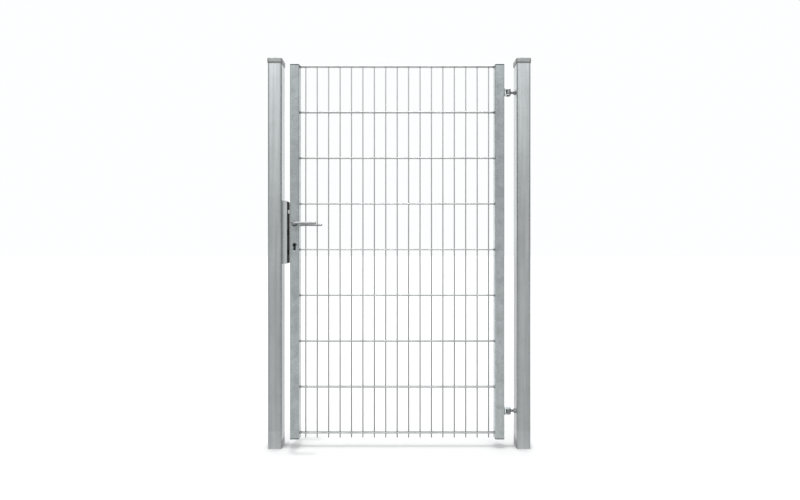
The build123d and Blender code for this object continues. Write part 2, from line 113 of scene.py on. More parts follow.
def new_piece(name, points, faces, edge=None, smooth=True, foot_shade=None):
    """A mesh object whose faces point outwards, with how near a corner each point is and how much painted
    foot shade lies on it.
    """
    points = np.asarray(points, float).reshape(-1, 3)
    faces = [tuple(int(i) for i in f) for f in faces]
    if signed_volume(points, faces) < 0:
        faces = [f[::-1] for f in faces]
    mesh = bpy.data.meshes.new(name)
    mesh.from_pydata(points.tolist(), [], faces)
    mesh.polygons.foreach_set("use_smooth", np.full(len(faces), smooth))
    for label, value in (("edge", edge), ("foot_shade", foot_shade)):
        if value is not None:
            layer = mesh.attributes.new(label, "FLOAT", "POINT")
            layer.data.foreach_set("value", np.asarray(value, np.float32).ravel())
    mesh.update()
    piece = bpy.data.objects.new(name, mesh)
    bpy.context.scene.collection.objects.link(piece)
    return piece


def grid_faces(rows, cols, wrap_rows, wrap_cols, start=0):
    """Quads between neighbouring points of a grid, joined round where it wraps."""
    r = np.arange(rows if wrap_rows else rows - 1)
    c = np.arange(cols if wrap_cols else cols - 1)
    r, c = (a.ravel() for a in np.meshgrid(r, c, indexing="ij"))
    r2, c2 = (r + 1) % rows, (c + 1) % cols
    quads = np.stack([r * cols + c, r * cols + c2, r2 * cols + c2, r2 * cols + c], 1)
    return quads + start


def ring_stack(rings):
    """Faces of closed rings stacked in order, with a point at each end that closes it.

    The points are the rings in order, then the centre of the first ring and of the last.
    """
    rows, cols = rings.shape[:2]
    quads = grid_faces(rows, cols, False, True)
    c = np.arange(cols)
    n = (c + 1) % cols
    bottom = np.stack([np.full(cols, rows * cols), n, c], 1)
    top_row = (rows - 1) * cols
    top = np.stack([np.full(cols, rows * cols + 1), c + top_row, n + top_row], 1)
    points = np.concatenate([rings.reshape(-1, 3), rings[0].mean(0)[None], rings[-1].mean(0)[None]])
    return points, [*quads, *bottom, *top]


def merged(shells):
    """Several (points, faces) shells as one set of points and faces."""
    points, faces, offset = [], [], 0
    for shell_points, shell_faces in shells:
        points.append(shell_points)
        faces += [np.asarray(f) + offset for f in shell_faces]
        offset += len(shell_points)
    return np.concatenate(points), faces


def eased(corners, radii, steps=4):
    """An open outline with each inner corner rounded by an arc of its radius."""
    corners = np.array(corners, float)
    out = [corners[0]]
    for before, at, after, radius in zip(corners, corners[1:], corners[2:], radii):
        a, b = before - at, after - at
        a_long, b_long = np.linalg.norm(a), np.linalg.norm(b)
        a, b = a / a_long, b / b_long
        half = math.acos(max(-1, min(1, float(a @ b)))) / 2
        cut = min(radius / math.tan(half), 0.49 * a_long, 0.49 * b_long)
        t = np.linspace(0, 1, steps + 1)[:, None]
        out += list((1 - t) ** 2 * (at + a * cut) + 2 * t * (1 - t) * at + t ** 2 * (at + b * cut))
    return np.array([*out, corners[-1]])


def round_square(half, corner, arc=7, side=9):
    """A square outline with round corners: quarter circles joined by evenly divided sides."""
    turn = np.linspace(0, math.pi / 2, arc)
    quarter = (half - corner) + corner * np.stack([np.cos(turn), np.sin(turn)], 1)
    run = np.linspace(1, -1, side + 1, endpoint=False)[1:, None] * (half - corner)
    flat = np.concatenate([run, np.full_like(run, half)], 1)
    one = np.concatenate([quarter, flat])
    near = np.concatenate([np.ones(arc), np.zeros(side)])
    outline = [one]
    for _ in range(3):
        last = outline[-1]
        outline.append(np.stack([-last[:, 1], last[:, 0]], 1))
    return np.concatenate(outline), np.tile(near, 4)


def lathe(profile, centre, axis, sides=48):
    """A profile of (radius, height) turned about an axis through the centre; r cos t, r sin t, h."""
    turn = np.linspace(0, 2 * math.pi, sides, endpoint=False)
    radius, height = profile[:, 0, None], profile[:, 1, None]
    flat = [radius * np.cos(turn), radius * np.sin(turn), height + 0 * turn]
    order = {"x": (2, 0, 1), "y": (1, 2, 0), "z": (0, 1, 2)}[axis]
    return np.stack([flat[i] for i in order], 2) + np.array(centre)


def carried(path, section_u, section_v, up):
    """A section carried along a path: at each point p + u side + v over, square to the path."""
    path = np.asarray(path, float)
    along = np.gradient(path, axis=0)
    along /= np.linalg.norm(along, axis=1)[:, None]
    side = np.cross(along, up)
    side /= np.linalg.norm(side, axis=1)[:, None]
    over = np.cross(side, along)
    return (path[:, None] + section_u[..., None] * side[:, None] + section_v[..., None] * over[:, None])


def closed_bead(path, normal, radius, sides=10, ripple=0.12, ripples=40):
    """A weld bead on a closed path: a circle whose radius swells and shrinks along the path."""
    path = np.asarray(path, float)
    ahead = np.roll(path, -1, 0) - np.roll(path, 1, 0)
    ahead /= np.linalg.norm(ahead, axis=1)[:, None]
    side = np.cross(ahead, normal)
    turn = np.linspace(0, 2 * math.pi, sides, endpoint=False)
    run = np.linspace(0, 2 * math.pi, len(path), endpoint=False)[:, None]
    size = radius * (1 + ripple * np.sin(run * ripples) + 0.08 * np.sin(run * 3 + 1))
    ring = (path[:, None] + (size * np.cos(turn))[..., None] * side[:, None]
            + (size * np.sin(turn))[..., None] * np.array(normal))
    return ring.reshape(-1, 3), list(grid_faces(len(path), sides, True, True))


def plate_shell(outline, low, high, bevel, axis, steps=3):
    """A flat plate from an outline in a plane, from low to high along the axis, edges eased."""
    outline = np.asarray(outline, float)
    ahead = np.roll(outline, -1, 0) - np.roll(outline, 1, 0)
    ahead /= np.linalg.norm(ahead, axis=1)[:, None]
    inward = np.stack([-ahead[:, 1], ahead[:, 0]], 1)
    area = np.sum(outline[:, 0] * np.roll(outline[:, 1], -1) - outline[:, 1] * np.roll(outline[:, 0], -1))
    if area < 0:
        inward = -inward
    turn = np.linspace(0, math.pi / 2, steps + 1)
    inset = np.concatenate([bevel * (1 - np.sin(turn)), bevel * (1 - np.cos(turn))])
    height = np.concatenate([low + bevel * (1 - np.cos(turn)), high - bevel * (1 - np.sin(turn))])
    inset[0], inset[-1] = bevel, bevel
    flat = outline[None] + inset[:, None, None] * inward[None]
    level = np.repeat(height[:, None], len(outline), 1)
    parts = [flat[..., 0], flat[..., 1], level]
    order = {"x": (2, 0, 1), "y": (0, 2, 1), "z": (0, 1, 2)}[axis]
    return ring_stack(np.stack([parts[i] for i in order], 2))


def waves(seed, z, s, scale):
    """Gentle unevenness of dipped zinc: a few slow sine waves in height and round the tube."""
    rng = np.random.default_rng(seed)
    total = np.zeros(np.broadcast(z, s).shape)
    for _ in range(7):
        fz, fs, phase = rng.uniform(2, 30), rng.integers(1, 4), rng.uniform(0, 6.28)
        total += np.sin(z * fz + s * fs * 2 * math.pi + phase)
    return scale * (0.5 + total / 14)


# ---------------------------------------------------------------- node helpers

def node(tree, kind, links=None, **settings):
    """A shader node with its settings and its inputs: each input gets a value or another socket."""
    made = tree.nodes.new(kind)
    for key, value in settings.items():
        setattr(made, key, value)
    for key, value in (links or {}).items():
        if isinstance(value, bpy.types.NodeSocket):
            tree.links.new(value, made.inputs[key])
        else:
            made.inputs[key].default_value = value
    return made


def new_group(name, inputs, outputs):
    """A shader node group with float or vector sockets named for what they carry."""
    group = bpy.data.node_groups.new(name, "ShaderNodeTree")
    kinds = {"F": "NodeSocketFloat", "V": "NodeSocketVector"}
    for label, kind, default in inputs:
        socket = group.interface.new_socket(label, in_out="INPUT", socket_type=kinds[kind])
        if default is not None:
            socket.default_value = default
    for label, kind in outputs:
        group.interface.new_socket(label, in_out="OUTPUT", socket_type=kinds[kind])
    return group, group.nodes.new("NodeGroupInput"), group.nodes.new("NodeGroupOutput")


def placed(tree, name, links):
    """A shared effect placed in a material."""
    return node(tree, "ShaderNodeGroup", links, node_tree=effect(name))


def maths(tree, operation, a, b=0.5):
    """One step of arithmetic; its result socket."""
    return node(tree, "ShaderNodeMath", {0: a, 1: b}, operation=operation).outputs[0]


def remap(tree, value, low, high, to_low=0.0, to_high=1.0):
    """A value moved smoothly from one range to another."""
    return node(tree, "ShaderNodeMapRange", {0: value, 1: low, 2: high, 3: to_low, 4: to_high},
                interpolation_type="SMOOTHSTEP").outputs[0]


def blended(tree, factor, a, b, mode="MIX"):
    """Two colours mixed; the result socket."""
    return node(tree, "ShaderNodeMix", {0: factor, 6: a, 7: b}, data_type="RGBA",
                blend_type=mode).outputs[2]


def noise(tree, where, scale, detail=2.0, roughness=0.5, distortion=0.0):
    """Cloudy noise at a point; its result socket."""
    return node(tree, "ShaderNodeTexNoise", {"Vector": where, "Scale": scale, "Detail": detail,
                                             "Roughness": roughness, "Distortion": distortion}).outputs[0]


def object_point(tree, stretch=(1, 1, 1), turn=(0, 0, 0)):
    """The piece's own coordinates, turned and stretched."""
    where = node(tree, "ShaderNodeTexCoord").outputs["Object"]
    return node(tree, "ShaderNodeMapping", {"Vector": where, "Scale": stretch,
                                            "Rotation": turn}).outputs[0]


# ---------------------------------------------------------------- effects shared by materials

def make_spangle():
    """Zinc spangle: crystals of a few millimetres that differ in tone, over soft clouds."""
    group, gin, gout = new_group("zinc spangle", [
        ("Vector", "V", None), ("Crystal size", "F", 0.009), ("Cloud size", "F", 0.08)],
        [("Crystals", "F"), ("Clouds", "F"), ("Relief", "F")])
    inverse = maths(group, "DIVIDE", 1.0, gin.outputs["Crystal size"])
    wander = node(group, "ShaderNodeTexNoise", {"Vector": gin.outputs["Vector"], "Scale": 120.0,
                                                "Detail": 2.0, "Roughness": 0.6})
    offset = node(group, "ShaderNodeVectorMath", {0: wander.outputs["Color"], 1: (0.5, 0.5, 0.5)},
                  operation="SUBTRACT")
    offset = node(group, "ShaderNodeVectorMath", {0: offset.outputs[0], "Scale": 0.006},
                  operation="SCALE")
    bent = node(group, "ShaderNodeVectorMath", {0: gin.outputs["Vector"], 1: offset.outputs[0]},
                operation="ADD")
    cells = node(group, "ShaderNodeTexVoronoi", {"Vector": bent.outputs[0], "Scale": inverse,
                                                 "Randomness": 1.0})
    fine = node(group, "ShaderNodeTexVoronoi", {
        "Vector": bent.outputs[0], "Scale": maths(group, "MULTIPLY", inverse, 2.7)})
    cell_tone = node(group, "ShaderNodeSeparateColor", {0: cells.outputs["Color"]}).outputs[0]
    fine_tone = node(group, "ShaderNodeSeparateColor", {0: fine.outputs["Color"]}).outputs[1]
    tone = maths(group, "ADD", maths(group, "MULTIPLY", cell_tone, 0.65),
                 maths(group, "MULTIPLY", fine_tone, 0.35))
    cloud = noise(group, gin.outputs["Vector"], maths(group, "DIVIDE", 1.0, gin.outputs["Cloud size"]),
                  4.0, 0.55, 0.6)
    group.links.new(tone, gout.inputs["Crystals"])
    group.links.new(remap(group, cloud, 0.3, 0.7), gout.inputs["Clouds"])
    group.links.new(maths(group, "ADD", tone, maths(group, "MULTIPLY", cells.outputs["Distance"], 0.5)),
                    gout.inputs["Relief"])
    return group


def make_streaks():
    """Wipe and drain marks: long thin noise along one direction, kept where it is strongest."""
    group, gin, gout = new_group("drain streaks", [
        ("Vector", "V", None), ("Fineness", "F", 60.0), ("Amount", "F", 0.5)], [("Mask", "F")])
    lines = noise(group, gin.outputs["Vector"], gin.outputs["Fineness"], 3.0, 0.6)
    patch = noise(group, gin.outputs["Vector"], maths(group, "MULTIPLY", gin.outputs["Fineness"], 0.2))
    strong = maths(group, "MULTIPLY", remap(group, lines, 0.56, 0.72), remap(group, patch, 0.42, 0.62))
    group.links.new(maths(group, "MULTIPLY", strong, gin.outputs["Amount"]), gout.inputs["Mask"])
    return group


def make_edge_painted_light_and_wear():
    """Corners toned by painted light and by wear: the edge attribute broken up by fine noise. Each finish
    picks the tone: a painted highlight on the stiles' corners, painted shade on the posts' corners and
    under the caps' lip, rubbed wear on plastic.
    """
    group, gin, gout = new_group("edge wear", [("Vector", "V", None), ("Amount", "F", 0.5)],
                                 [("Mask", "F")])
    near = node(group, "ShaderNodeAttribute", attribute_name="edge").outputs["Fac"]
    rough = noise(group, gin.outputs["Vector"], 90.0, 5.0, 0.7)
    mask = maths(group, "MULTIPLY", near, remap(group, rough, 0.35, 0.65, 0.25, 1.0))
    group.links.new(maths(group, "MULTIPLY", mask, gin.outputs["Amount"]), gout.inputs["Mask"])
    return group


def make_foot_shade():
    """Painted shade on the foot: the foot shade attribute broken up by ragged noise, a dark band standing
    in for the ground's shadow.
    """
    group, gin, gout = new_group("foot grime", [("Vector", "V", None), ("Amount", "F", 0.5)],
                                 [("Mask", "F")])
    foot_shade = node(group, "ShaderNodeAttribute", attribute_name="foot_shade").outputs["Fac"]
    ragged = noise(group, gin.outputs["Vector"], 60.0, 5.0, 0.65)
    mask = remap(group, maths(group, "ADD", foot_shade, ragged), 0.75, 1.15)
    group.links.new(maths(group, "MULTIPLY", mask, gin.outputs["Amount"]), gout.inputs["Mask"])
    return group


def make_brushed():
    """Brushed grain: noise drawn out along one direction."""
    group, gin, gout = new_group("brushed grain", [("Vector", "V", None), ("Fineness", "F", 900.0)],
                                 [("Tone", "F"), ("Relief", "F")])
    lines = noise(group, gin.outputs["Vector"], gin.outputs["Fineness"], 4.0, 0.7)
    group.links.new(remap(group, lines, 0.3, 0.7), gout.inputs["Tone"])
    group.links.new(lines, gout.inputs["Relief"])
    return group


def make_moulded():
    """Moulded texture: fine pebbled grain with a few faint flow marks."""
    group, gin, gout = new_group("moulded grain", [("Vector", "V", None), ("Fineness", "F", 1400.0)],
                                 [("Tone", "F"), ("Relief", "F")])
    pebble = node(group, "ShaderNodeTexVoronoi", {"Vector": gin.outputs["Vector"],
                                                  "Scale": gin.outputs["Fineness"]})
    flow = noise(group, gin.outputs["Vector"], 35.0, 4.0, distortion=1.0)
    group.links.new(remap(group, flow, 0.3, 0.7), gout.inputs["Tone"])
    group.links.new(pebble.outputs["Distance"], gout.inputs["Relief"])
    return group


EFFECTS = {}


def effect(name):
    """A shared effect, made the first time it is asked for."""
    makers = {"spangle": make_spangle, "streaks": make_streaks, "edge wear": make_edge_painted_light_and_wear,
              "foot grime": make_foot_shade, "brushed": make_brushed, "moulded": make_moulded}
    if name not in EFFECTS:
        EFFECTS[name] = makers[name]()
    return EFFECTS[name]


# ---------------------------------------------------------------- materials

def shader_start(name):
    """An empty material with a Principled shader; the tree and the shader."""
    material = bpy.data.materials.new(name)
    material.use_nodes = True
    tree = material.node_tree
    tree.nodes.clear()
    shader = tree.nodes.new("ShaderNodeBsdfPrincipled")
    output = tree.nodes.new("ShaderNodeOutputMaterial")
    tree.links.new(shader.outputs[0], output.inputs[0])
    return material, tree, shader


def bump(tree, shader, height, distance, strength=1.0):
    """Fine relief on the shader's normal."""
    made = node(tree, "ShaderNodeBump", {"Height": height, "Distance": distance,
                                         "Strength": strength})
    tree.links.new(made.outputs[0], shader.inputs["Normal"])


def scaled(colour, factor):
    """A colour made lighter or darker."""
    return (*(min(1.0, c * factor) for c in colour[:3]), 1.0)


def zinc(name, colour, crystal=0.009, cloud=0.09, contrast=0.16, streak=0.4, painted_shade=0.0,
         streak_turn=0.0, roughness=0.30, metallic=0.85, corner=1.05, rise=(1.0, 1.0), foot=0.0,
         grain=0.45, wipe=0.0, relief=0.35):
    """Hot-dip zinc: spangled crystals, clouds, drain streaks, corners toned by painted light, and painted
    shade at the foot.

    rise is painted light: how light the colour is painted at the ground and at the top; below the foot
    height a paler band is painted on.
    grain is the share of the crystals in the tone and wipe that of soft streaks along the tube.
    """
    material, tree, shader = shader_start(name)
    where = object_point(tree)
    spangle = placed(tree, "spangle", {"Vector": where, "Crystal size": crystal, "Cloud size": cloud})
    along = object_point(tree, stretch=(1.0, 1.0, 0.07), turn=(0, streak_turn, 0))
    streaks = placed(tree, "streaks", {"Vector": along, "Fineness": 70.0, "Amount": streak})
    painted_light_and_wear = placed(tree, "edge wear", {"Vector": where, "Amount": 0.8})
    dull = scaled(colour, 1 - contrast)
    bright = scaled(colour, 1 + contrast)
    tone = maths(tree, "ADD", maths(tree, "MULTIPLY", spangle.outputs["Crystals"], grain),
                 maths(tree, "MULTIPLY", spangle.outputs["Clouds"], 1 - grain - wipe))
    if wipe:
        drawn = object_point(tree, stretch=(1.0, 1.0, 0.03))
        soft = remap(tree, noise(tree, drawn, 75.0, 3.0, 0.55), 0.35, 0.65)
        tone = maths(tree, "ADD", tone, maths(tree, "MULTIPLY", soft, wipe))
    base = blended(tree, tone, dull, bright)
    base = blended(tree, streaks.outputs[0], base, scaled(colour, 1.45))
    # painted light: corners lighter as a painted highlight where corner is over 1, darker as painted shade
    # where it is under 1
    base = blended(tree, painted_light_and_wear.outputs[0], base, scaled(colour, corner))
    # painted light: the colour made lighter or darker with height, standing in for light falling from
    # above
    height = node(tree, "ShaderNodeSeparateXYZ", {0: where}).outputs[2]
    painted_height_light = remap(tree, height, 0.3, 1.65, *rise)
    # painted light: below the foot height the colour is painted paler
    if foot:
        painted_foot_light = remap(tree, height, foot + 1 * MM, foot - 1 * MM, 0.0, 0.10)
        painted_height_light = maths(tree, "ADD", painted_height_light, painted_foot_light)
    shade = node(tree, "ShaderNodeCombineColor", {0: painted_height_light, 1: painted_height_light, 2: painted_height_light}).outputs[0]
    base = blended(tree, 1.0, base, shade, "MULTIPLY")
    # painted shade: a dark band on the foot of the posts' inner faces, standing in for the ground's shadow
    if painted_shade:
        foot_shade = placed(tree, "foot grime", {"Vector": where, "Amount": painted_shade})
        base = blended(tree, foot_shade.outputs[0], base, (0.12, 0.125, 0.12, 1))
    tree.links.new(base, shader.inputs["Base Color"])
    spread = 0.16 * grain
    rough = remap(tree, spangle.outputs["Crystals"], 0.0, 1.0, roughness + spread, roughness - spread)
    tree.links.new(rough, shader.inputs["Roughness"])
    shader.inputs["Metallic"].default_value = metallic
    bump(tree, shader, spangle.outputs["Relief"], 0.0001, relief)
    return material


def brushed_metal(name, colour, stretch, roughness=0.3, metallic=1.0, contrast=0.12):
    """Brushed or satin metal with a fine directional grain."""
    material, tree, shader = shader_start(name)
    grain = placed(tree, "brushed", {"Vector": object_point(tree, stretch=stretch),
                                              "Fineness": 700.0})
    smudge = noise(tree, object_point(tree), 40.0, 5.0)
    base = blended(tree, grain.outputs["Tone"], scaled(colour, 1 - contrast), scaled(colour, 1 + contrast))
    tree.links.new(base, shader.inputs["Base Color"])
    rough = remap(tree, smudge, 0.3, 0.7, roughness - 0.06, roughness + 0.1)
    tree.links.new(rough, shader.inputs["Roughness"])
    shader.inputs["Metallic"].default_value = metallic
    bump(tree, shader, grain.outputs["Relief"], 0.00003, 0.5)
    return material


def moulded(name, colour, roughness=0.5, specular=0.4):
    """Moulded plastic or rubber: pebbled, slightly dusty, a little lighter on its corners."""
    material, tree, shader = shader_start(name)
    where = object_point(tree)
    grain = placed(tree, "moulded", {"Vector": where, "Fineness": 1400.0})
    painted_light_and_wear = placed(tree, "edge wear", {"Vector": where, "Amount": 0.5})
    base = blended(tree, grain.outputs["Tone"], scaled(colour, 0.85), scaled(colour, 1.2))
    base = blended(tree, painted_light_and_wear.outputs[0], base, scaled(colour, 1.8))
    tree.links.new(base, shader.inputs["Base Color"])
    rough = remap(tree, grain.outputs["Tone"], 0.0, 1.0, roughness - 0.08, roughness + 0.08)
    tree.links.new(rough, shader.inputs["Roughness"])
    shader.inputs["Specular IOR Level"].default_value = specular
    bump(tree, shader, grain.outputs["Relief"], 0.00006, 0.4)
    return material


MATERIALS = {}


def finish_of(slot_name):
    """The material of a slot, made the first time it is asked for."""
    if slot_name in MATERIALS:
        return MATERIALS[slot_name]
    tones = bpy.context.scene.gate_finish
    makers = {
        # rise in these finishes is painted light: posts lighter at the top, stiles lighter at the ground
        # and darker at the top, wires lighter towards the top
        "post_zinc": lambda: zinc("post zinc", tones.post_colour, crystal=0.012, cloud=0.11,
                                  # the posts' low corner tone is painted shade along their corners; their
                                  # foot tone is painted shade on the inner faces' foot
                                  contrast=0.13, streak=0.3, painted_shade=0.8, corner=0.8,
                                  rise=(0.96, 1.06), foot=0.076, grain=0.12, wipe=0.55,
                                  relief=0.18),
        "leaf_zinc": lambda: zinc("leaf zinc", tones.leaf_colour, crystal=0.008, cloud=0.05,
                                  contrast=0.22, streak=0.5, streak_turn=0.9,
                                  rise=(1.08, 0.76), grain=0.35, wipe=0.15),
        "wire_zinc": lambda: zinc("wire zinc", tones.wire_colour, crystal=0.004, cloud=0.05,
                                  contrast=0.10, streak=0.1, roughness=0.4,
                                  rise=(0.62, 1.35)),
        # painted light: the level wires get a copy of the wire zinc, painted lighter still towards the top
        "level_zinc": lambda: zinc("level wire zinc", scaled(tones.wire_colour, 0.97),
                                   crystal=0.004, cloud=0.05, contrast=0.10, streak=0.1,
                                   roughness=0.4, rise=(1.0, 1.45)),
        "hinge_zinc": lambda: zinc("hinge zinc", scaled(tones.leaf_colour, 1.25), crystal=0.005,
                                   cloud=0.03, contrast=0.18, streak=0.0),
        "weld_zinc": lambda: zinc("weld zinc", scaled(tones.wire_colour, 0.9), crystal=0.003,
                                  cloud=0.02, contrast=0.2, streak=0.0, roughness=0.5),
        # the cap's low corner tone is painted shade on its lower lip
        "cap_metal": lambda: zinc("cap zinc", tones.cap_colour, crystal=0.004, cloud=0.04,
                                  contrast=0.08, streak=0.0, roughness=0.45, metallic=0.7,
                                  corner=0.45),
        "plated_steel": lambda: brushed_metal("plated steel", (0.30, 0.305, 0.31), (1, 0.2, 1), 0.32),
        "dark_steel": lambda: brushed_metal("dark steel", (0.06, 0.06, 0.065), (1, 1, 1), 0.4),
        "lock_steel": lambda: brushed_metal("lock steel", (0.42, 0.42, 0.43), (1, 1, 0.1), 0.35),
        "stainless": lambda: brushed_metal("stainless", (0.60, 0.60, 0.59), (1, 1, 0.03), 0.28),
        "satin_aluminium": lambda: brushed_metal("satin aluminium", tones.metal_colour,
                                                 (1, 1, 0.05), 0.36, 0.9),
        # painted shade: the levers get a darker copy of the satin aluminium
        "shaded_lever_satin": lambda: brushed_metal("lever satin", scaled(tones.metal_colour, 0.58),
                                             (0.05, 1, 1), 0.33, 0.95),
        "plug_plastic": lambda: moulded("plug plastic", (0.045, 0.05, 0.052), 0.5, 0.2),
        "bearing_plastic": lambda: moulded("bearing plastic", (0.07, 0.075, 0.08), 0.45),
        "buffer_plastic": lambda: moulded("buffer plastic", (0.02, 0.02, 0.022), 0.5),
        "stop_rubber": lambda: moulded("stop rubber", (0.018, 0.018, 0.018), 0.7, 0.3),
    }
    MATERIALS[slot_name] = makers[slot_name]()
    return MATERIALS[slot_name]


def dress(piece, body, slot_name, *nodes, finish=None):
    """Gives a new piece the material of its slot, attaches it to its body, and hides the nodes it stands
    for.
    """
    piece.data.materials.clear()
    piece.data.materials.append(finish_of(finish or slot_name))
    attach(piece, body)
    if nodes:
        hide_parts(*nodes)
    return piece


# ---------------------------------------------------------------- posts, caps, stiles, plugs

def square_tube(name, box, corner, seed, uneven, shade_side=0):
    """A square tube: rounded-square rings up the outside and down the inside, joined at both ends.

    Each outer ring is drawn in by slow waves, as dipped zinc lies unevenly. Painted shade lies low on the
    side that faces along X in the direction given by the last argument.
    """
    low, high = box
    centre = (low + high) / 2
    half = (high[0] - low[0]) / 2
    ends = np.array([0, 0.4, 1.2, 4]) * MM
    levels = np.linspace(low[2], high[2], int((high[2] - low[2]) / TUBE_STEP) + 1)[1:-1]
    levels = np.concatenate([low[2] + ends, levels, high[2] - ends[::-1]])
    outer, near = round_square(half, corner)
    inner, _ = round_square(half - TUBE_WALL, corner - TUBE_WALL / 2)
    place = np.linspace(0, 1, len(outer), endpoint=False)
    inset = waves(seed, levels[:, None], place[None], uneven) + 0.00004
    shrink = 1 - inset / half
    out = np.zeros((len(levels), len(outer), 3))
    out[..., :2] = outer[None] * shrink[..., None] + centre[:2]
    out[..., 2] = levels[:, None]
    into = np.zeros_like(out)
    into[..., :2] = inner[None] + centre[:2]
    into[..., 2] = levels[:, None]
    rings = np.concatenate([out, into[::-1]])
    edge = np.concatenate([np.tile(near, (len(levels), 1)), np.zeros((len(levels), len(outer)))])
    # painted shade: strongest at the foot of the inner side face, fading out above
    side = np.clip((rings[..., 0] - centre[0]) * shade_side / half * 8 - 7, 0, 1)
    foot_shade = side * np.clip(1.15 - (rings[..., 2] - low[2]) / FOOT_SHADE_HEIGHT, 0, 1)
    faces = list(grid_faces(len(rings), len(outer), True, True))
    return new_piece(name, rings, faces, edge, foot_shade=foot_shade)


def make_posts():
    """Both post tubes."""
    for seed, side in ((3, "lock_post"), (8, "hinge_post")):
        inner = -np.sign(middle(side)[0])
        tube = square_tube(side + "_tube", low_high(side), POST_CORNER, seed, 0.25 * MM, inner)
        dress(tube, POSTS, "post_zinc", side)


def make_caps():
    """Both caps: rounded-square rings up the lip, rim, shoulder and crown to a point."""
    for side in ("lock_post_cap", "hinge_post_cap"):
        low, high = low_high(side)
        centre = (low + high) / 2
        half = (high[0] - low[0]) / 2
        base, top = low[2], high[2]
        socket = half - 2.25 * MM
        corners = [(0.0, base + CAP_SOCKET), (socket, base + CAP_SOCKET), (socket, base),
                   (socket + 0.55 * MM, base), (half, base + CAP_TAPER), (half, top - CAP_RIM),
                   (half - 1.5 * MM, top - CAP_CROWN), (7 * MM, top), (0.0, top)]
        radii = [0.3 * MM, 0.2 * MM, 0.2 * MM, 0.6 * MM, 1.2 * MM, 2 * MM, 5 * MM]
        profile = eased(corners, radii, 5)
        rings, lip = [], []
        for reach, z in profile[1:-1]:
            outline, _ = round_square(reach, min(CAP_CORNER, reach * 0.45), 9, 7)
            rings.append(np.column_stack([outline + centre[:2], np.full(len(outline), z)]))
            # the lip band goes into the edge attribute, and the cap finish paints shade on it
            lip.append(np.full(len(outline), float(z < base + CAP_LIP)))
        points, faces = ring_stack(np.array(rings))
        lip = np.concatenate([np.ravel(lip), [0, 0]])
        dress(new_piece(side + "_shell", points, faces, lip), POSTS, "cap_metal", side)


def cut_with(piece, cutter):
    """Cuts one closed surface out of another and keeps the result in the piece's mesh."""
    modifier = piece.modifiers.new("cut", "BOOLEAN")
    modifier.operation, modifier.solver, modifier.object = "DIFFERENCE", "EXACT", cutter
    evaluated = piece.evaluated_get(bpy.context.evaluated_depsgraph_get())
    mesh = bpy.data.meshes.new_from_object(evaluated)
    piece.modifiers.clear()
    piece.data = mesh
    bpy.data.objects.remove(cutter)


def cylinder_hole():
    """The lock cylinder's profile hole as a closed cutter through the stile's front wall."""
    lock = next(m for m in frame["record"]["mounts"] if m["name"] == "profile_cylinder_hole")
    x, _, z = lock["pos_m"]
    radius = lock["dims"]["r_mm"] * MM
    slot_half, drop = 5 * MM, 19.5 * MM
    meet = math.asin(slot_half / radius)
    head = np.linspace(-math.pi / 2 + meet, 3 * math.pi / 2 - meet, 40)
    toe = np.linspace(math.pi, 2 * math.pi, 16)
    outline = np.concatenate([
        np.stack([radius * np.cos(head), radius * np.sin(head)], 1),
        np.stack([slot_half * np.cos(toe), slot_half * np.sin(toe) - drop], 1)])
    rings = np.array([np.column_stack([outline[:, 0] + x, np.full(len(outline), y), outline[:, 1] + z])
                      for y in (-0.05, -0.010)])
    points, faces = ring_stack(rings)
    return new_piece("cylinder_cutter", points, faces)


def make_stiles():
    """Both stile tubes; the lock stile is cut for the lock cylinder."""
    for seed, side in ((5, "lock_stile"), (12, "hinge_stile")):
        tube = square_tube(side + "_tube", low_high(side), STILE_CORNER, seed, 0.2 * MM)
        if side == "lock_stile":
            cut_with(tube, cylinder_hole())
        dress(tube, LEAF, "leaf_zinc", side)


def make_plugs():
    """End plugs: rounded-square rings over the rim, sunk a little in the middle."""
    for name in ("lock_stile_top_plug", "lock_stile_bottom_plug", "hinge_stile_top_plug",
                 "hinge_stile_bottom_plug"):
        low, high = low_high(name)
        centre = (low + high) / 2
        half = (high[0] - low[0]) / 2
        top = "top" in name
        face, inward = (high[2], -1) if top else (low[2], 1)
        spigot = half - 2.1 * MM
        corners = [(0, PLUG_SPIGOT), (spigot, PLUG_SPIGOT), (spigot, PLUG_RIM), (half, PLUG_RIM),
                   (half, 0), (half - 5 * MM, 0), (half - 6 * MM, 0.7 * MM), (0, 0.7 * MM)]
        profile = eased(corners, [1 * MM, 0.2 * MM, 0.3 * MM, 1.1 * MM, 0.4 * MM, 0.4 * MM], 4)
        rings = []
        for reach, depth in profile[1:-1]:
            outline, _ = round_square(reach, min(STILE_CORNER, reach * 0.4), 6, 4)
            rings.append(np.column_stack([outline + centre[:2],
                                          np.full(len(outline), face + inward * depth)]))
        points, faces = ring_stack(np.array(rings))
        dress(new_piece(name + "_body", points, faces), LEAF, "plug_plastic", name)


# ---------------------------------------------------------------- mat

def wire_shells(start, end, radius, sides, rings, seed):
    """Round wires between points: circles along each line, eased ends, a slight wander."""
    rng = np.random.default_rng(seed)
    along = end[0] - start[0]
    long_axis = int(np.argmax(np.abs(along)))
    a, b = [i for i in range(3) if i != long_axis]
    t = np.concatenate([[0, 0.0008], np.linspace(0.002, 0.998, rings), [0.9992, 1]])
    swell = np.concatenate([[0.55, 0.88], np.ones(rings), [0.88, 0.55]])
    turn = np.linspace(0, 2 * math.pi, sides, endpoint=False)
    shells = []
    for p, q in zip(start, end):
        phase = rng.uniform(0, 6.28, 4)
        wander = 0.12 * MM * np.sin(t * 9 + phase[0]) + 0.06 * MM * np.sin(t * 31 + phase[1])
        line = p + (q - p) * t[:, None]
        ring = np.repeat(line[:, None], sides, 1)
        size = radius * swell * (1 - 0.012 * (1 + np.sin(t * 60 + phase[2])))
        ring[..., a] += size[:, None] * np.cos(turn) + wander[:, None]
        ring[..., b] += size[:, None] * np.sin(turn)
        shells.append(ring_stack(ring))
    return merged(shells)


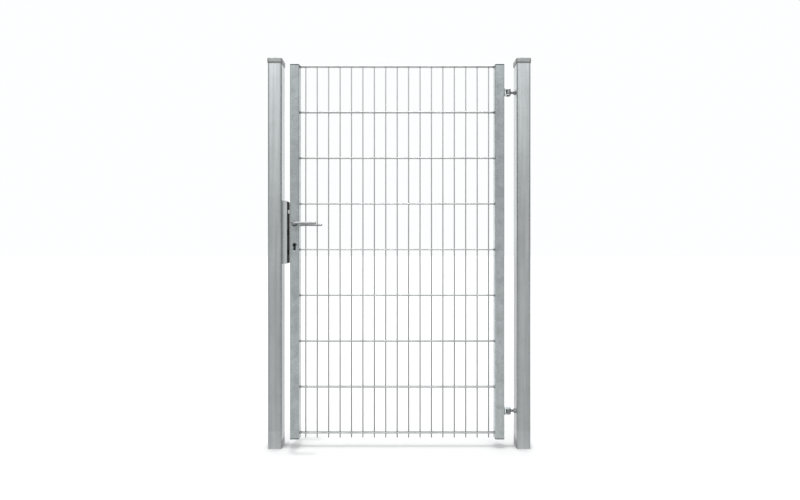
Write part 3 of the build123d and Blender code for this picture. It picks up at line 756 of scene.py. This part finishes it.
def mat_layout():
    """Where the wires run: the uprights' X, the levels' Z and each layer's Y."""
    wires = bpy.context.scene.gate_mat
    low, high = low_high("upright_wires")
    radius = (high[1] - low[1]) / 2
    xs = np.linspace(low[0] + radius, high[0] - radius, wires.uprights)
    front = low_high("front_cross_wires")
    cross = (front[1][1] - front[0][1]) / 2
    zs = np.linspace(front[0][2] + cross, front[1][2] - cross, wires.levels)
    return xs, zs, radius, cross, middle("front_cross_wires")[1], front


def make_mat():
    """Upright and level wires of the mat."""
    xs, zs, radius, cross, front_y, front = mat_layout()
    low, high = low_high("upright_wires")
    start = np.column_stack([xs, 0 * xs, 0 * xs + low[2]])
    end = np.column_stack([xs, 0 * xs, 0 * xs + high[2]])
    points, faces = wire_shells(start, end, radius - 0.2 * MM, 16, 90, 21)
    dress(new_piece("mat_uprights", points, faces), LEAF, "wire_zinc", "upright_wires")
    for name, sign in (("front_cross_wires", 1), ("rear_cross_wires", -1)):
        y = 0 * zs + front_y * sign
        start = np.column_stack([0 * zs + front[0][0], y, zs])
        end = np.column_stack([0 * zs + front[1][0], y, zs])
        points, faces = wire_shells(start, end, cross - 0.12 * MM, 18, 60, 31 + sign)
        dress(new_piece(name.replace("cross_wires", "level_wires"), points, faces), LEAF,
              "wire_zinc", name, finish="level_zinc")


def make_mat_welds():
    """Weld nuggets where wires cross: flattened spheres sunk between the two wires."""
    xs, zs, radius, cross, front_y, front = mat_layout()
    rng = np.random.default_rng(77)
    turn = np.linspace(0, 2 * math.pi, 10, endpoint=False)
    rise = np.linspace(-1.25, 1.25, 5)
    unit = np.stack([np.cos(rise)[:, None] * np.cos(turn), np.sin(rise)[:, None] + 0 * turn,
                     np.cos(rise)[:, None] * np.sin(turn)], 2)
    shells = []
    for sign in (1, -1):
        for x in xs:
            for z in zs:
                size = np.array([4.2, 1.9, 4.0]) * MM * rng.uniform(0.88, 1.1, 3)
                place = np.array([x, sign * -radius * 0.95, z])
                shells.append(ring_stack(unit * size + place))
    points, faces = merged(shells)
    dress(new_piece("mat_weld_nuggets", points, faces), LEAF, "wire_zinc", finish="weld_zinc")
    beads = []
    turn = np.linspace(0, 2 * math.pi, 28, endpoint=False)
    for z in zs:
        for y in (front_y, -front_y):
            for x, out in ((front[0][0], 1), (front[1][0], -1)):
                reach = (cross + 0.5 * MM) * (1 + 0.05 * np.sin(turn * 3 + rng.uniform(0, 6)))
                path = np.stack([np.full(28, x + out * 0.5 * MM), y + reach * np.cos(turn),
                                 z + reach * np.sin(turn)], 1)
                beads.append(closed_bead(path, (1, 0, 0), 1.5 * MM, 8, 0.14, 9))
    points, faces = merged(beads)
    dress(new_piece("mat_end_welds", points, faces), LEAF, "wire_zinc", finish="weld_zinc")


# ---------------------------------------------------------------- hinges

def make_hinges():
    """Brackets, weld beads, eyes, threads, nuts and pins of both hinges."""
    for name in ("lower", "upper"):
        bracket_low, bracket_high = low_high(name + "_hinge_bracket")
        axis = np.array([middle(name + "_hinge_pin")[0], 0, (bracket_low[2] + bracket_high[2]) / 2])
        make_bracket(name, bracket_low, bracket_high, axis)
        make_eyebolt(name, axis)
        make_pin(name, axis)


def make_bracket(name, low, high, axis):
    """A plate with two round-nosed ears, and the weld bead round the plate."""
    ear = high[0] - axis[0]
    turn = np.linspace(-math.pi / 2, math.pi / 2, 25)
    nose = np.stack([axis[0] + ear * np.cos(turn), ear * np.sin(turn)], 1)
    back = np.linspace(axis[0], low[0] + 1 * MM, 8)[1:]
    ear_outline = np.concatenate([nose, np.stack([back, np.full(7, ear)], 1),
                                  np.stack([back[::-1], np.full(7, -ear)], 1)])
    shells = [plate_shell(ear_outline, low[2], low[2] + EAR_THICK, 0.7 * MM, "z"),
              plate_shell(ear_outline, high[2] - EAR_THICK, high[2], 0.7 * MM, "z")]
    half_y, half_z = (high[1] - low[1]) / 2, (high[2] - low[2]) / 2
    rim, _ = round_square(1.0, 0.12, 5, 8)
    outline = np.stack([rim[:, 0] * half_y, axis[2] + rim[:, 1] * half_z], 1)
    shells.append(plate_shell(outline, low[0], low[0] + PLATE_THICK, 0.7 * MM, "x"))
    points, faces = merged(shells)
    dress(new_piece(name + "_bracket_forging", points, faces), LEAF, "hinge_zinc",
          name + "_hinge_bracket")
    ring = np.column_stack([np.full(len(rim), low[0] + 0.3 * MM), outline])
    points, faces = closed_bead(ring, (1, 0, 0), 2.0 * MM, 9, 0.1, 16)
    dress(new_piece(name + "_bracket_weld", points, faces), LEAF, "hinge_zinc", finish="weld_zinc")


def make_eyebolt(name, axis):
    """The eye turned about the pin, its threaded shank, and the chamfered lock nut."""
    node_name = name + "_hinge_eyebolt"
    low, high = low_high(node_name)
    outer, half = (high[1] - low[1]) / 2, (high[2] - low[2]) / 2
    loop = eased([(EYE_BORE, 0), (EYE_BORE, half), (outer, half), (outer, -half), (EYE_BORE, -half),
                  (EYE_BORE, 0)], [1 * MM, 2.2 * MM, 2.2 * MM, 1 * MM], 5)
    rings = lathe(loop[:-1], axis, "z", 56)
    eye = rings.reshape(-1, 3), list(grid_faces(len(rings), 56, True, True))
    start, end = axis[0] + outer - 1.5 * MM, high[0]
    sides = 36
    run = np.linspace(start, end, int((end - start) / THREAD_PITCH * 8))
    turn = np.linspace(0, 2 * math.pi, sides, endpoint=False)
    tooth = np.abs((run[:, None] / THREAD_PITCH - turn / (2 * math.pi)) % 1 - 0.5) * 2
    fade = np.clip((run - start - 2 * MM) / (2 * MM), 0, 1)[:, None]
    radius = SHANK_RADIUS - THREAD_DEPTH * fade * np.clip(tooth * 1.25 - 0.1, 0, 1)
    thread = np.stack([np.repeat(run[:, None], sides, 1), radius * np.cos(turn) + axis[1],
                       radius * np.sin(turn) + axis[2]], 2)
    points, faces = merged([eye, ring_stack(thread)])
    dress(new_piece(name + "_eyebolt_body", points, faces), POSTS, "plated_steel", node_name)
    make_nut(name)


def make_nut(name):
    """A hexagon nut: at each turn the radius is the lesser of the flat's and the chamfer's."""
    low, high = low_high(name + "_hinge_locknut")
    centre = (low + high) / 2
    flat = (high[1] - low[1]) / 2
    turn = np.linspace(0, 2 * math.pi, 96, endpoint=False)
    hexagon = flat / np.cos((turn - math.pi / 2 + math.pi / 6) % (math.pi / 3) - math.pi / 6)
    depth = np.linspace(0, high[0] - low[0], 13)
    edge = np.minimum(depth, depth[-1] - depth)
    cone = flat + edge[:, None] * 1.7
    radius = np.minimum(hexagon, cone)
    radius = np.concatenate([radius, np.full((2, 96), NUT_BORE)])
    depth = np.concatenate([depth, [depth[-1], 0]])
    ring = np.stack([np.repeat((low[0] + depth)[:, None], 96, 1), centre[1] + radius * np.cos(turn),
                     centre[2] + radius * np.sin(turn)], 2)
    faces = list(grid_faces(len(ring), 96, True, True))
    nut = new_piece(name + "_locknut_body", ring, faces, smooth=False)
    dress(nut, POSTS, "plated_steel", name + "_hinge_locknut")


def make_pin(name, axis):
    """The hinge pin turned about its axis, with its domed head."""
    low, high = low_high(name + "_hinge_pin")
    head = (high[0] - low[0]) / 2
    top = low_high(name + "_hinge_bracket")[1][2]
    corners = [(0, low[2]), (PIN_RADIUS, low[2]), (PIN_RADIUS, top), (head, top), (head, top + 1 * MM),
               (head * 0.7, high[2] - 0.2 * MM), (0, high[2])]
    profile = eased(corners, [1 * MM, 0.2 * MM, 0.5 * MM, 2 * MM, 3 * MM], 5)
    rings = lathe(profile[1:-1], (axis[0], 0, 0), "z", 40)
    points, faces = ring_stack(rings)
    dress(new_piece(name + "_pin_body", points, faces), LEAF, "hinge_zinc", name + "_hinge_pin")


# ---------------------------------------------------------------- handles and lock

def make_levers():
    """Levers: an oval section carried out of the stile, round the bend and along the grip."""
    bend = bpy.context.scene.gate_lever.bend
    for name, sign in (("front_lever", -1), ("rear_lever", 1)):
        low, high = low_high(name)
        spindle = middle("handle_spindle")
        plane = max(abs(low[1]), abs(high[1])) - LEVER_RADIUS
        inner = min(abs(low[1]), abs(high[1]))
        neck = np.linspace(inner, plane - bend, 16)
        turn = np.linspace(0, math.pi / 2, 18)[1:]
        arc = np.stack([bend * (1 - np.cos(turn)), plane - bend + bend * np.sin(turn)], 1)
        run = np.linspace(bend, high[0] - spindle[0] - 0.5 * MM, 44)[1:]
        path_x = np.concatenate([0 * neck, arc[:, 0], run])
        path_y = np.concatenate([neck, arc[:, 1], 0 * run + plane])
        step = np.hypot(np.diff(path_x, prepend=0), np.diff(path_y, prepend=inner))
        far = np.cumsum(step)
        collar = 2 * MM * np.clip((LEVER_COLLAR - path_y) / (2 * MM), 0, 1) * (path_x < 1e-6)
        wide = LEVER_RADIUS - 0.7 * MM * np.clip((far - 0.06) / 0.05, 0, 1) + collar
        tall = LEVER_RADIUS - 0.8 * MM * np.clip((far - 0.05) / 0.03, 0, 1) + collar
        tip = np.clip((far[-1] - far) / LEVER_RADIUS, 0, 1)
        tip = np.sqrt(np.clip(1 - (1 - tip) ** 2, 0.0004, 1))
        around = np.linspace(0, 2 * math.pi, 36, endpoint=False)
        squared = (np.abs(np.cos(around)) ** 2.6 + np.abs(np.sin(around)) ** 2.6) ** (-1 / 2.6)
        u = (wide * tip)[:, None] * np.cos(around) * squared
        v = (tall * tip)[:, None] * np.sin(around) * squared
        path = np.stack([spindle[0] + path_x, sign * path_y, np.full(len(far), spindle[2])], 1)
        rings = carried(path, u, v, np.array([0, 0, 1.0]))
        points, faces = ring_stack(rings)
        # the darker lever finish is painted shade
        dress(new_piece(name + "_grip", points, faces), HANDLE, "satin_aluminium", name,
              finish="shaded_lever_satin")


def make_bushes():
    """Flanged bushes turned about the spindle."""
    for name, sign in (("front_handle_bush", -1), ("rear_handle_bush", 1)):
        low, high = low_high(name)
        centre = middle(name)
        reach = (high[0] - low[0]) / 2
        near, far = sorted((abs(low[1]), abs(high[1])))
        under = far - BUSH_FLANGE
        loop = eased([(BUSH_BORE, near + 4 * MM), (BUSH_BORE, far), (reach, far), (reach, under),
                      (BUSH_RADIUS, under), (BUSH_RADIUS, near), (BUSH_BORE, near),
                      (BUSH_BORE, near + 4 * MM)],
                     [0.6 * MM, 1.5 * MM, 0.3 * MM, 0.2 * MM, 0.4 * MM, 0.4 * MM], 4)
        loop[:, 1] *= sign
        rings = lathe(loop[:-1], (centre[0], 0, centre[2]), "y", 56)
        faces = list(grid_faces(len(rings), 56, True, True))
        dress(new_piece(name + "_ring", rings, faces), LEAF, "bearing_plastic", name)


def make_spring():
    """The latch's spring: a wire on a helix at its full length; the real spring shortens as the latch
    slides in.
    """
    low, high = low_high("latch_spring")
    length = high[0] - low[0]
    radius = (high[1] - low[1]) / 2 - SPRING_WIRE
    middle_z = (low[2] + high[2]) / 2
    run = np.linspace(0, 1, SPRING_TURNS * 24 + 1)
    turn = run * SPRING_TURNS * 2 * math.pi
    path = np.stack([low[0] + SPRING_WIRE + run * (length - 2 * SPRING_WIRE),
                     radius * np.cos(turn), middle_z + radius * np.sin(turn)], 1)
    around = np.linspace(0, 2 * math.pi, 8, endpoint=False)
    size = np.full((len(run), 1), SPRING_WIRE)
    rings = carried(path, size * np.cos(around), size * np.sin(around), np.array([1.0, 0, 0]))
    spring = new_piece("latch_spring_coil", *ring_stack(rings))
    dress(spring, LEAF, "dark_steel", "latch_spring")
    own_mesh(spring)


def dress_frame_nodes():
    """Gives every node that is still shown its finish."""
    slots = {p["node"]: p["material_slot"] for p in frame["record"]["subparts"]}
    for name, part in frame["nodes"].items():
        part.data.materials.clear()
        part.data.materials.append(finish_of(slots[name]))
    for name in EASED_NODES:
        ease = frame["nodes"][name].modifiers.new("eased edges", "BEVEL")
        ease.width, ease.segments = 0.4 * MM, 2
        ease.limit_method, ease.angle_limit = "ANGLE", math.radians(35)


# ---------------------------------------------------------------- stage

def make_room():
    """White to look at; its light comes from the rear, from above and from high in front.

    Each part rises smoothly with one component of the direction; both sides stay dim.
    """
    studio = bpy.context.scene.gate_studio
    world = bpy.data.worlds.new("studio")
    world.use_nodes = True
    tree = world.node_tree
    tree.nodes.clear()
    way = node(tree, "ShaderNodeTexCoord").outputs["Generated"]
    split = node(tree, "ShaderNodeSeparateXYZ", {0: way})
    x, y, z = (split.outputs[i] for i in range(3))
    rear = remap(tree, y, 0.45, 0.9, 0.0, studio.rear_light)
    front = remap(tree, y, -0.55, -0.95, 0.0, studio.front_light)
    above = remap(tree, z, 0.35, 0.85, 0.0, studio.room_light)
    high = maths(tree, "MULTIPLY", remap(tree, z, 0.12, 0.42), remap(tree, y, -0.35, -0.8))
    high = maths(tree, "MULTIPLY", high, studio.high_light)
    dim = remap(tree, x, 1.0, -1.0, studio.side_light * 0.8, studio.side_light * 1.2)
    total = dim
    for part in (rear, front, above, high):
        total = maths(tree, "ADD", total, part)
    seen = node(tree, "ShaderNodeLightPath").outputs["Is Camera Ray"]
    total = maths(tree, "ADD", maths(tree, "MULTIPLY", total, maths(tree, "SUBTRACT", 1.0, seen)),
                  seen)
    sky = node(tree, "ShaderNodeBackground", {0: (0.985, 0.995, 1.0, 1), 1: total})
    output = tree.nodes.new("ShaderNodeOutputWorld")
    tree.links.new(sky.outputs[0], output.inputs[0])
    return world


def make_camera():
    """A level camera in front of the leaf."""
    studio = bpy.context.scene.gate_studio
    data = bpy.data.cameras.new("camera")
    data.lens = studio.lens
    data.clip_end = 200
    camera = bpy.data.objects.new("camera", data)
    camera.location = (studio.camera_side, -studio.camera_distance, studio.camera_height)
    camera.rotation_euler = (math.pi / 2, 0, 0)
    bpy.context.scene.collection.objects.link(camera)
    bpy.context.scene.camera = camera


def make_floor():
    """A pale floor; the light it throws at the gate is even in front and stronger behind."""
    studio = bpy.context.scene.gate_studio
    reach = 60.0
    floor = new_piece("floor", [(-reach, -reach, 0), (reach, -reach, 0), (reach, reach, 0),
                                (-reach, reach, 0)], [(0, 1, 2, 3)], smooth=False)
    material, tree, shader = shader_start("floor")
    speck = noise(tree, object_point(tree), 3.0)
    pale = studio.floor_tone
    tone = blended(tree, speck, (*[pale] * 3, 1), (*[pale * 1.01] * 3, 1))
    tree.links.new(tone, shader.inputs["Base Color"])
    depth = node(tree, "ShaderNodeSeparateXYZ", {0: object_point(tree)}).outputs[1]
    thrown = remap(tree, depth, -0.2, 0.3, studio.floor_light, studio.rear_floor)
    glow = node(tree, "ShaderNodeEmission", {0: (1, 1, 1, 1), 1: thrown})
    seen = node(tree, "ShaderNodeLightPath").outputs["Is Camera Ray"]
    either = node(tree, "ShaderNodeMixShader", {0: seen, 1: glow.outputs[0], 2: shader.outputs[0]})
    output = next(n for n in tree.nodes if n.bl_idname == "ShaderNodeOutputMaterial")
    tree.links.new(either.outputs[0], output.inputs[0])
    shader.inputs["Roughness"].default_value = 0.9
    shader.inputs["Specular IOR Level"].default_value = 0.1
    floor.data.materials.append(material)


def make_lamps():
    """A broad lamp over the left shoulder and a narrow one straight overhead."""
    studio = bpy.context.scene.gate_studio
    for name, strength, spread, tilt, turn in (
            ("soft key", studio.key_light, 40, 40, -24), ("overhead", studio.top_light, 2, 0, 0)):
        data = bpy.data.lights.new(name, "SUN")
        data.energy, data.angle = strength, math.radians(spread)
        lamp = bpy.data.objects.new(name, data)
        lamp.rotation_euler = (math.radians(tilt), 0, math.radians(turn))
        bpy.context.scene.collection.objects.link(lamp)


# ---------------------------------------------------------------- settings

class GateFinish(bpy.types.PropertyGroup):
    """Colours of the gate's finishes."""
    post_colour: bpy.props.FloatVectorProperty(
        name="Post zinc", description="Middle tone of the posts' zinc", subtype="COLOR", size=3,
        min=0, max=1, default=(0.46, 0.485, 0.49))
    leaf_colour: bpy.props.FloatVectorProperty(
        name="Leaf zinc", description="Middle tone of the stiles' zinc", subtype="COLOR", size=3,
        min=0, max=1, default=(0.44, 0.475, 0.48))
    wire_colour: bpy.props.FloatVectorProperty(
        name="Wire zinc", description="Middle tone of the mat's wires", subtype="COLOR", size=3,
        min=0, max=1, default=(0.36, 0.37, 0.37))
    cap_colour: bpy.props.FloatVectorProperty(
        name="Cap metal", description="Middle tone of the post caps", subtype="COLOR", size=3,
        min=0, max=1, default=(0.33, 0.345, 0.34))
    metal_colour: bpy.props.FloatVectorProperty(
        name="Satin metal", description="Tone of the levers and the keep", subtype="COLOR", size=3,
        min=0, max=1, default=(0.60, 0.615, 0.62))


class GateMat(bpy.types.PropertyGroup):
    """Wires of the mat."""
    uprights: bpy.props.IntProperty(
        name="Uprights", description="Number of upright wires", default=17, min=2)
    levels: bpy.props.IntProperty(
        name="Levels", description="Number of pairs of level wires", default=9, min=2)


class GateLever(bpy.types.PropertyGroup):
    """Lever handles."""
    bend: bpy.props.FloatProperty(
        name="Bend", description="Radius of the bend from neck to grip", default=0.014,
        subtype="DISTANCE", unit="LENGTH")


class GateStudio(bpy.types.PropertyGroup):
    """Camera and light."""
    camera_distance: bpy.props.FloatProperty(
        name="Camera distance", description="From the camera to the leaf's mid-plane",
        default=1.9, subtype="DISTANCE", unit="LENGTH")
    camera_height: bpy.props.FloatProperty(
        name="Camera height", description="Height of the camera over the ground", default=0.858,
        subtype="DISTANCE", unit="LENGTH")
    camera_side: bpy.props.FloatProperty(
        name="Camera side", description="Distance of the camera to the right of the middle",
        default=0.0035, subtype="DISTANCE", unit="LENGTH")
    lens: bpy.props.FloatProperty(
        name="Lens", description="Focal length of the camera in millimetres", default=19.53)
    rear_light: bpy.props.FloatProperty(
        name="Rear light", description="Strength of the light from behind", default=1.05)
    front_light: bpy.props.FloatProperty(
        name="Front light", description="Strength of the light from the front", default=0.45)
    high_light: bpy.props.FloatProperty(
        name="High light", description="Strength of the light from high in front", default=0.7)
    room_light: bpy.props.FloatProperty(
        name="Room light", description="Strength of the light from above", default=1.4)
    side_light: bpy.props.FloatProperty(
        name="Side light", description="Strength of the dim light all round", default=0.22)
    key_light: bpy.props.FloatProperty(
        name="Key light", description="Strength of the soft lamp over the left shoulder",
        default=0.35)
    top_light: bpy.props.FloatProperty(
        name="Top light", description="Strength of the lamp straight overhead", default=2.0)
    floor_tone: bpy.props.FloatProperty(
        name="Floor tone", description="How pale the floor looks", default=0.545)
    floor_light: bpy.props.FloatProperty(
        name="Floor light", description="How much light the floor in front throws at the gate",
        default=0.72)
    rear_floor: bpy.props.FloatProperty(
        name="Rear floor light", description="How much light the floor behind throws at the gate",
        default=1.05)


# ---------------------------------------------------------------- operators

class GATE_OT_posts(bpy.types.Operator):
    """Build the two post tubes"""
    bl_idname = "gate.posts"
    bl_label = "Posts"

    def execute(self, context):
        make_posts()
        return {"FINISHED"}


class GATE_OT_caps(bpy.types.Operator):
    """Build the two post caps"""
    bl_idname = "gate.caps"
    bl_label = "Post caps"

    def execute(self, context):
        make_caps()
        return {"FINISHED"}


class GATE_OT_stiles(bpy.types.Operator):
    """Build the two stile tubes and their end plugs"""
    bl_idname = "gate.stiles"
    bl_label = "Stiles and plugs"

    def execute(self, context):
        make_stiles()
        make_plugs()
        return {"FINISHED"}


class GATE_OT_mat(bpy.types.Operator):
    """Build the wires of the mat and their welds"""
    bl_idname = "gate.mat"
    bl_label = "Wire mat"

    def execute(self, context):
        make_mat()
        make_mat_welds()
        return {"FINISHED"}


class GATE_OT_hinges(bpy.types.Operator):
    """Build both hinges"""
    bl_idname = "gate.hinges"
    bl_label = "Hinges"

    def execute(self, context):
        make_hinges()
        return {"FINISHED"}


class GATE_OT_handles(bpy.types.Operator):
    """Build the levers, their bushes and the latch's spring"""
    bl_idname = "gate.handles"
    bl_label = "Handles"

    def execute(self, context):
        make_levers()
        make_bushes()
        make_spring()
        return {"FINISHED"}


class GATE_OT_finishes(bpy.types.Operator):
    """Give the frame's own nodes their finishes"""
    bl_idname = "gate.finishes"
    bl_label = "Finishes"

    def execute(self, context):
        dress_frame_nodes()
        return {"FINISHED"}


class GATE_OT_stage(bpy.types.Operator):
    """Build the floor, the lights and the camera"""
    bl_idname = "gate.stage"
    bl_label = "Studio"

    def execute(self, context):
        make_camera()
        bpy.context.scene.world = make_room()
        bpy.context.scene.view_settings.view_transform = "Standard"
        make_floor()
        make_lamps()
        return {"FINISHED"}


class GATE_PT_panel(bpy.types.Panel):
    """Settings and steps of the gate"""
    bl_label = "Garden gate"
    bl_idname = "GATE_PT_panel"
    bl_space_type = "VIEW_3D"
    bl_region_type = "UI"
    bl_category = "Gate"

    def draw(self, context):
        for group, names in SETTINGS.items():
            box = self.layout.box()
            for name in names.__annotations__:
                box.prop(getattr(context.scene, group), name)
        for step in STEPS:
            self.layout.operator(step.bl_idname)


SETTINGS = {"gate_finish": GateFinish, "gate_mat": GateMat, "gate_lever": GateLever,
            "gate_studio": GateStudio}
STEPS = (GATE_OT_posts, GATE_OT_caps, GATE_OT_stiles, GATE_OT_mat, GATE_OT_hinges,
         GATE_OT_handles, GATE_OT_finishes, GATE_OT_stage)


def register():
    """Adds the classes and the settings."""
    for made in (*SETTINGS.values(), *STEPS, GATE_PT_panel):
        bpy.utils.register_class(made)
    for name, kind in SETTINGS.items():
        setattr(bpy.types.Scene, name, bpy.props.PointerProperty(type=kind))


def unregister():
    """Removes the settings and the classes."""
    for name in SETTINGS:
        delattr(bpy.types.Scene, name)
    for made in reversed((*SETTINGS.values(), *STEPS, GATE_PT_panel)):
        bpy.utils.unregister_class(made)


def main():
    """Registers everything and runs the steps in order."""
    register()
    for step in STEPS:
        family, name = step.bl_idname.split(".")
        getattr(getattr(bpy.ops, family), name)()


if __name__ == "__main__":
    main()
